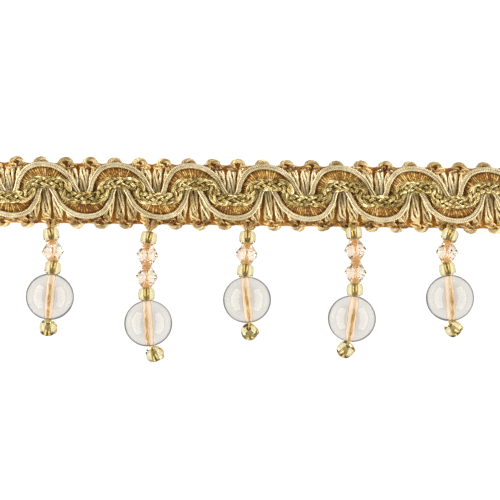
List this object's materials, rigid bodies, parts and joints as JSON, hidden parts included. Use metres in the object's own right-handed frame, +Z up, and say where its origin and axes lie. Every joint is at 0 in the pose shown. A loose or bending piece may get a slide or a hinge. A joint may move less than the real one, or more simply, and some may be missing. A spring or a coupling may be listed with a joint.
{
  "type": "beaded gimp fringe trim",
  "caption": "Straight cut length of gold scroll gimp braid with clear beaded drops along one edge, for trimming shades and curtains.",
  "frame": {"origin": "middle of the whole part's footprint, on the surface that its back lies on", "axes": "+X along the braid, +Y from the drops towards the heading, +Z up, out of the braid's face"},
  "size_m": [0.0974, 0.0348, 0.008],
  "materials": {
    "ground_yarn": "glossy multi-ply gimp yarn",
    "ribbon_yarn": "fine ribbed rayon",
    "wrapped_cord": "satin wrapped cord",
    "metallic_plait": "metallic yarn",
    "seed_glass": "pale yellow, gold-lined",
    "bicone_acrylic": "faceted clear with a peach tint",
    "round_acrylic": "clear polished",
    "drop_thread": "twisted beading thread"
  },
  "bodies": {
    "root": {"amber_ribbon": "ribbon_yarn", "centre_plait": "metallic_plait", "drop_1_bicone_1": "bicone_acrylic", "drop_1_end_seed": "seed_glass", "drop_1_round_1": "round_acrylic", "drop_1_seed_1": "seed_glass", "drop_1_seed_2": "seed_glass", "drop_1_thread": "drop_thread", "drop_2_bicone_1": "bicone_acrylic", "drop_2_bicone_2": "bicone_acrylic", "drop_2_end_seed": "seed_glass", "drop_2_round_1": "round_acrylic", "drop_2_seed_1": "seed_glass", "drop_2_seed_2": "seed_glass", "drop_2_thread": "drop_thread", "drop_3_bicone_1": "bicone_acrylic", "drop_3_end_seed": "seed_glass", "drop_3_round_1": "round_acrylic", "drop_3_seed_1": "seed_glass", "drop_3_seed_2": "seed_glass", "drop_3_thread": "drop_thread", "drop_4_bicone_1": "bicone_acrylic", "drop_4_bicone_2": "bicone_acrylic", "drop_4_end_seed": "seed_glass", "drop_4_round_1": "round_acrylic", "drop_4_seed_1": "seed_glass", "drop_4_seed_2": "seed_glass", "drop_4_thread": "drop_thread", "drop_5_bicone_1": "bicone_acrylic", "drop_5_end_seed": "seed_glass", "drop_5_round_1": "round_acrylic", "drop_5_seed_1": "seed_glass", "drop_5_seed_2": "seed_glass", "drop_5_thread": "drop_thread", "ground_braid": "ground_yarn", "lower_edge_cord": "wrapped_cord", "upper_edge_cord": "wrapped_cord"}
  },
  "joints": []
}
